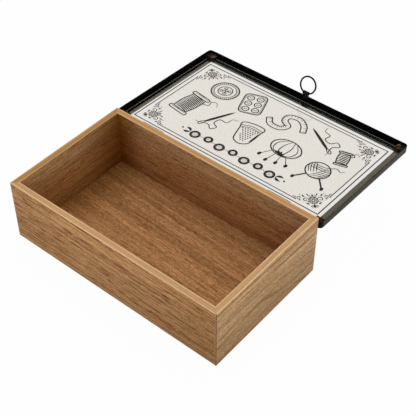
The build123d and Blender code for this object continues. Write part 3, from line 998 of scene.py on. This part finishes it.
class SEWBOX_OT_printing(bpy.types.Operator):
    """Draw the generic sewing design on the pane's inner face, with its thin ground"""
    bl_idname = "sewbox.printing"
    bl_label = "Printed Design"

    def execute(self, context):
        look = context.scene.sewbox_print
        # The ground's two levels over the glass, in millimetres, and the ink's lower one
        ground_low, ground_high, ink_low = 0.004, 0.014, 0.018
        d = Drawing(ink_low, ink_low + look.thickness / MM)
        draw_border(d, look)
        d.weight = 1.0 + look.weight
        draw_garland(d)
        for draw, place, turn, size in (
                (draw_spool, (-82, 8), 8, 1.1), (draw_needle, (-46, 9), 24, 1.12),
                (draw_thimble, (-8, 9), -9, 1.2), (draw_pincushion, (34, 8), 4, 1.2),
                (draw_yarn, (76, 12), -6, 1.05),
                (draw_button, (-68, -32), 20, 1.12), (draw_button_card, (-33, -33), -20, 1.0),
                (draw_tape, (12, -31), 6, 1.0), (draw_needle, (53, -30), -58, 1.12),
                (draw_small_spool, (84, -21), -16, 0.65)):
            d.put(place, turn, size)
            draw(d)
        d.put()
        d.piece("printed_lines", print_ink(look), "black_frame", look.shift)
        ground = Drawing(ground_low, ground_high)
        reach_long, reach_wide = inner_reach(look)
        ground.rule(reach_long, 0, 2 * reach_wide)
        ground.piece("print_ground", print_ground(look), "glass", look.shift)
        return {"FINISHED"}


class SEWBOX_OT_stage(bpy.types.Operator):
    """Set up the pale floor, the soft lights, the ambient light and the camera"""
    bl_idname = "sewbox.stage"
    bl_label = "Studio"

    def execute(self, context):
        look = context.scene.sewbox_stage
        make_floor(look)
        make_ambient(look)
        make_lamp("key_light", look.key_power, place=(-0.25, 0.40, 1.45), size=1.4)
        make_lamp("fill_light", look.fill_power, place=(0.7, -1.2, 0.9), size=1.2)
        make_camera(look)
        context.scene.view_settings.view_transform = "Standard"
        return {"FINISHED"}


def seen_white(tree):
    """A socket that is 1 for rays that see the background: the camera's, and those in metal and glass."""
    path = tree.nodes.new("ShaderNodeLightPath")
    total = path.outputs["Is Camera Ray"]
    for name in ("Is Glossy Ray", "Is Transmission Ray"):
        step = tree.nodes.new("ShaderNodeMath")
        step.operation = "MAXIMUM"
        tree.links.new(total, step.inputs[0])
        tree.links.new(path.outputs[name], step.inputs[1])
        total = step.outputs[0]
    return total


def make_floor(look, reach=3.0, level=-0.2 * MM):
    """A level square just under the box, part plain white to the eye and part lit, so it keeps the shadow."""
    mesh = bpy.data.meshes.new("floor")
    mesh.from_pydata([(reach * x, reach * y, level) for x, y in CORNERS], [], [(0, 1, 2, 3)])
    s = Shader("pale_floor")
    lit = s.nodes.new("ShaderNodeBsdfDiffuse")
    lit.inputs["Color"].default_value = (*look.floor_colour, 1)
    white = s.nodes.new("ShaderNodeEmission")
    factor = s.math("MULTIPLY", seen_white(s.material.node_tree), look.floor_white)
    mesh.materials.append(s.end(s.blend(factor, lit.outputs[0], white.outputs[0])))
    floor = bpy.data.objects.new("floor", mesh)
    bpy.context.scene.collection.objects.link(floor)


def make_ambient(look):
    """A world that is white to the eye and in reflections, and a plain soft light to everything else."""
    world = bpy.data.worlds.new("studio")
    world.use_nodes = True
    tree = world.node_tree
    tree.nodes.clear()
    output = tree.nodes.new("ShaderNodeOutputWorld")
    soft, white = (tree.nodes.new("ShaderNodeBackground") for _ in range(2))
    soft.inputs["Strength"].default_value = look.ambient
    for node in (soft, white):
        node.inputs["Color"].default_value = (1, 1, 1, 1)
    mix = tree.nodes.new("ShaderNodeMixShader")
    tree.links.new(seen_white(tree), mix.inputs[0])
    tree.links.new(soft.outputs[0], mix.inputs[1])
    tree.links.new(white.outputs[0], mix.inputs[2])
    tree.links.new(mix.outputs[0], output.inputs["Surface"])
    bpy.context.scene.world = world


def make_lamp(name, power, place, size, aim=(0, 0.05, 0.03)):
    """A square soft lamp that faces the box, and shows in no metal or glass."""
    light = bpy.data.lights.new(name, "AREA")
    light.shape = "SQUARE"
    light.size = size
    light.energy = power
    lamp = bpy.data.objects.new(name, light)
    lamp.location = place
    lamp.visible_glossy = lamp.visible_transmission = False
    lamp.rotation_euler = (Vector(aim) - Vector(place)).to_track_quat("-Z", "Y").to_euler()
    bpy.context.scene.collection.objects.link(lamp)


def make_camera(look):
    """A camera on a sphere round its target, looking at it, with its roll last."""
    level = look.distance * math.cos(look.elevation)
    height = look.distance * math.sin(look.elevation)
    away = Vector((level * math.sin(look.azimuth), -level * math.cos(look.azimuth), height))
    data = bpy.data.cameras.new("camera")
    data.lens = look.lens
    data.clip_start = 10 * MM
    camera = bpy.data.objects.new("camera", data)
    turn = (-away).to_track_quat("-Z", "Y").to_matrix().to_4x4()
    turn = turn @ turn.Rotation(look.roll, 4, "Z")
    turn.translation = Vector(look.target) + away
    camera.matrix_world = turn
    bpy.context.scene.collection.objects.link(camera)
    bpy.context.scene.camera = camera


# The sidebar and the add-on's registration

class SEWBOX_PT_sidebar(bpy.types.Panel):
    """The sewing box's pieces and the values that they take"""
    bl_idname = "SEWBOX_PT_sidebar"
    bl_label = "Sewing Box"
    bl_space_type = "VIEW_3D"
    bl_region_type = "UI"
    bl_category = "Sewing Box"

    def draw(self, context):
        for attribute, operators in GROUPS.items():
            box = self.layout.box()
            look = getattr(context.scene, attribute)
            for operator in operators:
                box.operator(operator.bl_idname)
            for name in look.bl_rna.properties.keys():
                if name not in ("rna_type", "name"):
                    box.prop(look, name)


GROUPS = {
    "sewbox_wood": (SEWBOX_OT_boards,),
    "sewbox_lid": (SEWBOX_OT_lid_frame, SEWBOX_OT_glass, SEWBOX_OT_fittings),
    "sewbox_print": (SEWBOX_OT_printing,),
    "sewbox_stage": (SEWBOX_OT_stage,),
}
LOOKS = {"sewbox_wood": WoodLook, "sewbox_lid": LidLook, "sewbox_print": PrintLook, "sewbox_stage": StageLook}
OPERATORS = [operator for group in GROUPS.values() for operator in group]


def register():
    """Registers the classes and puts one group of values of each kind on the scene."""
    for cls in (*LOOKS.values(), *OPERATORS, SEWBOX_PT_sidebar):
        bpy.utils.register_class(cls)
    for attribute, cls in LOOKS.items():
        setattr(bpy.types.Scene, attribute, PointerProperty(type=cls))


def unregister():
    """Takes away what register put there."""
    for attribute in LOOKS:
        delattr(bpy.types.Scene, attribute)
    for cls in (SEWBOX_PT_sidebar, *reversed(OPERATORS), *reversed(LOOKS.values())):
        bpy.utils.unregister_class(cls)


def main():
    """Registers the add-on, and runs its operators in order."""
    register()
    for operator in OPERATORS:
        group, call = operator.bl_idname.split(".")
        getattr(getattr(bpy.ops, group), call)()


if __name__ == "__main__":
    main()
